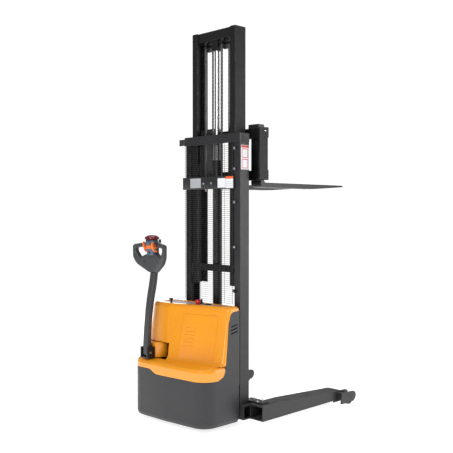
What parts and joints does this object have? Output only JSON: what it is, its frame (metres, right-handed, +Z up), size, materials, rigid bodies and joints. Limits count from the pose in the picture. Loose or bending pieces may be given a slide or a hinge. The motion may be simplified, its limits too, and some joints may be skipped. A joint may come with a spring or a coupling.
{
  "type": "walkie stacker",
  "caption": "Pedestrian straddle stacker with two-stage mast, fork carriage, side-mounted tiller, steered drive wheel and splayed support legs.",
  "frame": {"origin": "centre of the footprint on the floor", "axes": "+Z up, +Y towards the fork tips, +X to the right of a driver who faces the forks"},
  "size_m": [1.196, 1.645, 2.848],
  "materials": {
    "battery": "satin black",
    "battery_indicator": "satin black",
    "carriage_frame": "satin black powder coat",
    "carriage_roller_left": "oiled steel",
    "carriage_roller_right": "oiled steel",
    "caster_fork": "oiled steel",
    "caster_wheel": "black rubber",
    "chain_front_left": "oiled steel",
    "chain_front_right": "oiled steel",
    "chain_rear_left": "oiled steel",
    "chain_rear_right": "oiled steel",
    "chain_sheave_left": "oiled steel",
    "chain_sheave_right": "oiled steel",
    "chassis_frame": "satin black powder coat",
    "cylinder_gland": "satin black powder coat",
    "drive_unit": "satin black powder coat",
    "drive_wheel": "dark polyurethane tread",
    "emergency_stop": "glossy red",
    "filler_cap": "satin black",
    "fork_left": "satin black powder coat",
    "fork_right": "satin black powder coat",
    "head_casing": "semi-gloss orange",
    "horn_button": "satin slate blue",
    "hydraulic_hose": "black rubber",
    "hydraulic_power_unit": "grey paint",
    "inner_bottom_tie": "satin black powder coat",
    "inner_channel_left": "satin black powder coat",
    "inner_channel_right": "satin black powder coat",
    "inner_roller_left": "oiled steel",
    "inner_roller_right": "oiled steel",
    "inner_top_tie": "satin black powder coat",
    "key_switch": "satin black",
    "leg_clamp_left": "satin black powder coat",
    "leg_clamp_right": "satin black powder coat",
    "leg_left": "satin black powder coat",
    "leg_right": "satin black powder coat",
    "lift_cylinder_barrel": "satin black powder coat",
    "lift_rocker": "satin slate blue",
    "load_wheel_left": "dark polyurethane tread",
    "load_wheel_right": "dark polyurethane tread",
    "lowering_lever": "satin black",
    "mesh_guard_lower": "black coated welded wire",
    "mesh_guard_upper": "black coated welded wire",
    "motor_controller": "satin black",
    "outer_channel_left": "satin black powder coat",
    "outer_channel_right": "satin black powder coat",
    "outer_middle_tie": "satin black powder coat",
    "outer_top_tie": "satin black powder coat",
    "piston_rod": "polished hard chrome",
    "rod_head": "black paint",
    "safety_button": "semi-gloss maroon",
    "skirt_cover": "satin dark grey moulding",
    "steering_hub_cover": "glossy orange-yellow paint on moulded plastic",
    "throttle_paddles": "semi-gloss orange",
    "tiller_arm": "satin grey powder coat",
    "tiller_bracket": "black painted casting",
    "tiller_head": "fine-grained grey moulding",
    "tiller_pivot_pin": "oiled steel",
    "top_tray": "satin dark grey moulding",
    "upper_cover": "glossy orange-yellow paint on moulded plastic"
  },
  "bodies": {
    "chassis": {"chassis_frame": "chassis_frame", "skirt_cover": "skirt_cover", "upper_cover": "upper_cover", "top_tray": "top_tray", "battery": "battery", "hydraulic_power_unit": "hydraulic_power_unit", "motor_controller": "motor_controller", "hydraulic_hose": "hydraulic_hose", "outer_channel_left": "outer_channel_left", "outer_channel_right": "outer_channel_right", "outer_top_tie": "outer_top_tie", "outer_middle_tie": "outer_middle_tie", "mesh_guard_upper": "mesh_guard_upper", "mesh_guard_lower": "mesh_guard_lower", "lift_cylinder_barrel": "lift_cylinder_barrel", "cylinder_gland": "cylinder_gland", "leg_left": "leg_left", "leg_right": "leg_right", "leg_clamp_left": "leg_clamp_left", "leg_clamp_right": "leg_clamp_right", "chain_rear_left": "chain_rear_left", "chain_rear_right": "chain_rear_right", "battery_indicator": "battery_indicator", "filler_cap": "filler_cap"},
    "inner_mast": {"inner_channel_left": "inner_channel_left", "inner_channel_right": "inner_channel_right", "inner_top_tie": "inner_top_tie", "inner_bottom_tie": "inner_bottom_tie", "piston_rod": "piston_rod", "rod_head": "rod_head", "chain_front_left": "chain_front_left", "chain_front_right": "chain_front_right"},
    "sheave_left": {"chain_sheave_left": "chain_sheave_left"},
    "sheave_right": {"chain_sheave_right": "chain_sheave_right"},
    "mast_roller_left": {"inner_roller_left": "inner_roller_left"},
    "mast_roller_right": {"inner_roller_right": "inner_roller_right"},
    "carriage": {"carriage_frame": "carriage_frame"},
    "carriage_wheel_left": {"carriage_roller_left": "carriage_roller_left"},
    "carriage_wheel_right": {"carriage_roller_right": "carriage_roller_right"},
    "fork_left": {"fork_left": "fork_left"},
    "fork_right": {"fork_right": "fork_right"},
    "load_wheel_left": {"load_wheel_left": "load_wheel_left"},
    "load_wheel_right": {"load_wheel_right": "load_wheel_right"},
    "steering": {"drive_unit": "drive_unit", "steering_hub_cover": "steering_hub_cover", "tiller_bracket": "tiller_bracket", "tiller_pivot_pin": "tiller_pivot_pin"},
    "drive_wheel": {"drive_wheel": "drive_wheel"},
    "tiller": {"tiller_arm": "tiller_arm", "tiller_head": "tiller_head", "head_casing": "head_casing"},
    "safety_button": {"safety_button": "safety_button"},
    "throttle": {"throttle_paddles": "throttle_paddles"},
    "lift_rocker": {"lift_rocker": "lift_rocker"},
    "horn_button": {"horn_button": "horn_button"},
    "lowering_lever": {"lowering_lever": "lowering_lever"},
    "caster": {"caster_fork": "caster_fork"},
    "caster_wheel": {"caster_wheel": "caster_wheel"},
    "emergency_stop": {"emergency_stop": "emergency_stop"},
    "key": {"key_switch": "key_switch"}
  },
  "joints": [
    {"name": "mast_lift", "type": "slide", "parent": "chassis", "child": "inner_mast", "axis": [0, 0, 1], "range_m": [-0.78, 0.64], "deforming": ["chain_rear_left", "chain_rear_right"]},
    {"name": "carriage_lift", "type": "slide", "parent": "inner_mast", "child": "carriage", "axis": [0, 0, 1], "range_m": [-0.78, 0.64], "deforming": ["chain_front_left", "chain_front_right"]},
    {"name": "sheave_spin_left", "type": "hinge", "parent": "inner_mast", "child": "sheave_left", "pos_m": [0.025, -0.3735, 2.745], "axis": [1, 0, 0], "range_deg": [-1214, 997]},
    {"name": "mast_roller_spin_left", "type": "hinge", "parent": "inner_mast", "child": "mast_roller_left", "pos_m": [-0.1385, -0.3815, 1.07], "axis": [1, 0, 0], "range_deg": [-1039, 1265]},
    {"name": "carriage_roller_spin_left", "type": "hinge", "parent": "carriage", "child": "carriage_wheel_left", "pos_m": [-0.077, -0.3625, 1.841], "axis": [1, 0, 0], "range_deg": [-859, 1045]},
    {"name": "sheave_spin_right", "type": "hinge", "parent": "inner_mast", "child": "sheave_right", "pos_m": [0.195, -0.3735, 2.745], "axis": [1, 0, 0], "range_deg": [-1214, 997]},
    {"name": "mast_roller_spin_right", "type": "hinge", "parent": "inner_mast", "child": "mast_roller_right", "pos_m": [0.3585, -0.3815, 1.07], "axis": [1, 0, 0], "range_deg": [-1039, 1265]},
    {"name": "carriage_roller_spin_right", "type": "hinge", "parent": "carriage", "child": "carriage_wheel_right", "pos_m": [0.297, -0.3625, 1.841], "axis": [1, 0, 0], "range_deg": [-859, 1045]},
    {"name": "fork_left_shift", "type": "slide", "parent": "carriage", "child": "fork_left", "axis": [1, 0, 0], "range_m": [-0.07, 0.115]},
    {"name": "fork_right_shift", "type": "slide", "parent": "carriage", "child": "fork_right", "axis": [1, 0, 0], "range_m": [-0.115, 0.07]},
    {"name": "load_wheel_left_spin", "type": "hinge", "parent": "chassis", "child": "load_wheel_left", "pos_m": [-0.553, 0.6275, 0.045], "axis": [1, 0, 0], "continuous": true},
    {"name": "load_wheel_right_spin", "type": "hinge", "parent": "chassis", "child": "load_wheel_right", "pos_m": [0.553, 0.6275, 0.045], "axis": [1, 0, 0], "continuous": true},
    {"name": "steer", "type": "hinge", "parent": "chassis", "child": "steering", "pos_m": [-0.196, -0.6775, 0.45], "axis": [0, 0, 1], "range_deg": [-45, 45]},
    {"name": "tiller_tilt", "type": "hinge", "parent": "steering", "child": "tiller", "pos_m": [-0.196, -0.7925, 0.5], "axis": [1, 0, 0], "range_deg": [0, 75]},
    {"name": "drive_wheel_spin", "type": "hinge", "parent": "steering", "child": "drive_wheel", "pos_m": [-0.196, -0.6775, 0.11], "axis": [1, 0, 0], "continuous": true},
    {"name": "caster_swivel", "type": "hinge", "parent": "chassis", "child": "caster", "pos_m": [0.26, -0.6075, 0.2], "axis": [0, 0, 1], "continuous": true},
    {"name": "caster_wheel_spin", "type": "hinge", "parent": "caster", "child": "caster_wheel", "pos_m": [0.26, -0.5675, 0.06], "axis": [1, 0, 0], "continuous": true},
    {"name": "safety_button_press", "type": "slide", "parent": "tiller", "child": "safety_button", "axis": [0, 0, -1], "range_m": [0, 0.005], "stiffness_N_per_m": 2500},
    {"name": "throttle_twist", "type": "hinge", "parent": "tiller", "child": "throttle", "pos_m": [-0.196, -0.7642, 1.255], "axis": [1, 0, 0], "range_deg": [-12, 12], "stiffness_Nm_per_rad": 2},
    {"name": "lift_rocker_tilt", "type": "hinge", "parent": "tiller", "child": "lift_rocker", "pos_m": [-0.196, -0.7782, 1.2905], "axis": [1, 0, 0], "range_deg": [-5, 5], "stiffness_Nm_per_rad": 2},
    {"name": "horn_button_press", "type": "slide", "parent": "tiller", "child": "horn_button", "axis": [0, 1, 0], "range_m": [0, 0.002], "stiffness_N_per_m": 1500},
    {"name": "lowering_lever_tilt", "type": "hinge", "parent": "tiller", "child": "lowering_lever", "pos_m": [-0.104, -0.7451, 1.3], "axis": [1, 0, 0], "range_deg": [-20, 20], "stiffness_Nm_per_rad": 1},
    {"name": "emergency_stop_press", "type": "slide", "parent": "chassis", "child": "emergency_stop", "axis": [0, 0, -1], "range_m": [0, 0.005]},
    {"name": "key_turn", "type": "hinge", "parent": "chassis", "child": "key", "pos_m": [0.073, -0.5005, 0.87], "axis": [0, 0, 1], "range_deg": [0, 90]}
  ],
  "couplings": [
    {"joint": "carriage_lift", "follows": "mast_lift", "ratio": 1},
    {"joint": "sheave_spin_left", "follows": "mast_lift", "rad_per_m": 27.027},
    {"joint": "mast_roller_spin_left", "follows": "mast_lift", "rad_per_m": -28.169},
    {"joint": "carriage_roller_spin_left", "follows": "mast_lift", "rad_per_m": -23.256},
    {"joint": "sheave_spin_right", "follows": "mast_lift", "rad_per_m": 27.027},
    {"joint": "mast_roller_spin_right", "follows": "mast_lift", "rad_per_m": -28.169},
    {"joint": "carriage_roller_spin_right", "follows": "mast_lift", "rad_per_m": -23.256}
  ]
}
